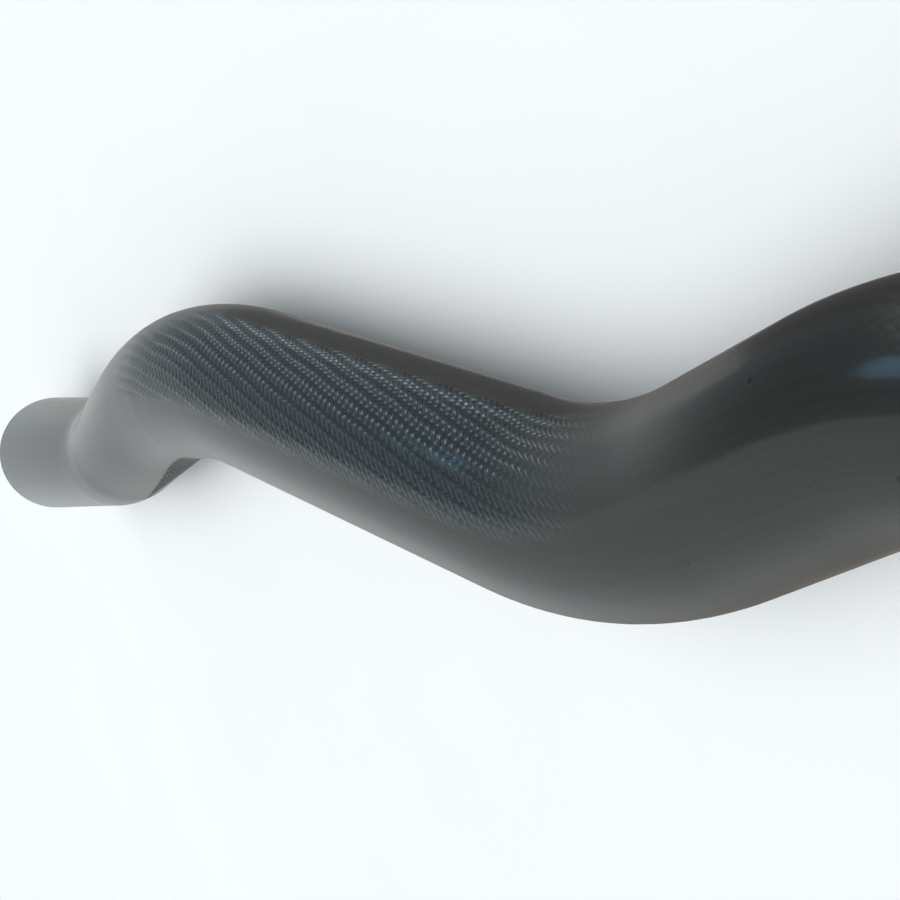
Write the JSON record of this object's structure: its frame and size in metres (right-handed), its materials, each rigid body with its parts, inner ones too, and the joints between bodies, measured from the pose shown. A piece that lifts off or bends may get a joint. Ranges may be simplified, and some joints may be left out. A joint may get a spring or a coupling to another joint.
{
  "type": "ice axe",
  "caption": "Technical ice axe: a bare twice-bent carbon shaft with a bolted head, drooped toothed pick, hammer, clip-in eye, sliding finger trigger and butt spike.",
  "frame": {"origin": "centre of the clip-in eye in the head, on the axis of the upper shaft", "axes": "+X along the upper shaft, out through the head; +Y to the pick side, -Y to the hammer; +Z across the axe, up when it lies on its side"},
  "size_m": [0.5158, 0.22, 0.0326],
  "materials": {
    "carbon": "glossy clear coat over twill carbon",
    "forged_alloy": "dark grey hard anodised, fine satin",
    "cap_alloy": "blue-grey anodised, polished",
    "bare_alloy": "clear anodised, turned",
    "pick_steel": "ground and brushed alloy steel",
    "spike_steel": "forged and brushed steel",
    "weight_steel": "zinc grey, bead blasted",
    "black_steel": "black oxide",
    "plated_steel": "zinc plated",
    "rivet_steel": "ground flush",
    "black_nylon": "moulded, fine grain",
    "liner_polymer": "smooth low-friction polymer",
    "pad_rubber": "soft, matt"
  },
  "bodies": {
    "axe": {"butt_cap": "cap_alloy", "hammer": "spike_steel", "hammer_bolt": "black_steel", "hammer_dowel": "plated_steel", "hammer_nut": "plated_steel", "hammer_washer_lower": "plated_steel", "hammer_washer_upper": "plated_steel", "head_body": "forged_alloy", "head_insert": "bare_alloy", "pick": "pick_steel", "pick_front_bolt": "black_steel", "pick_front_nut": "plated_steel", "pick_front_washer_lower": "plated_steel", "pick_front_washer_upper": "plated_steel", "pick_rear_bolt": "black_steel", "pick_rear_nut": "plated_steel", "pick_rear_washer_lower": "plated_steel", "pick_rear_washer_upper": "plated_steel", "pick_weight_lower": "weight_steel", "pick_weight_upper": "weight_steel", "rivet_lower": "rivet_steel", "rivet_upper": "rivet_steel", "shaft": "carbon", "skirt_ring": "black_nylon", "spike": "spike_steel", "spike_grub_screw": "black_steel", "weight_nut_front": "plated_steel", "weight_nut_rear": "plated_steel", "weight_screw_front": "black_steel", "weight_screw_rear": "black_steel"},
    "trigger": {"trigger_body": "black_nylon", "trigger_liner": "liner_polymer", "finger_pad": "pad_rubber", "lever_pin": "plated_steel"},
    "lever": {"trigger_lever": "bare_alloy"},
    "shoe": {"clamp_shoe": "black_nylon"}
  },
  "joints": [
    {"name": "trigger_slide", "type": "slide", "parent": "axe", "child": "trigger", "axis": [1, 0, 0], "range_m": [-0.03, 0.03]},
    {"name": "lever_hinge", "type": "hinge", "parent": "trigger", "child": "lever", "pos_m": [-0.092, -0.0206, 0], "axis": [0, 0, 1], "range_deg": [0, 70]},
    {"name": "shoe_slide", "type": "slide", "parent": "trigger", "child": "shoe", "axis": [0, -1, 0], "range_m": [0, 0.0005]}
  ],
  "couplings": [
    {"joint": "shoe_slide", "follows": "lever_hinge", "m_per_rad": 0.0004}
  ]
}
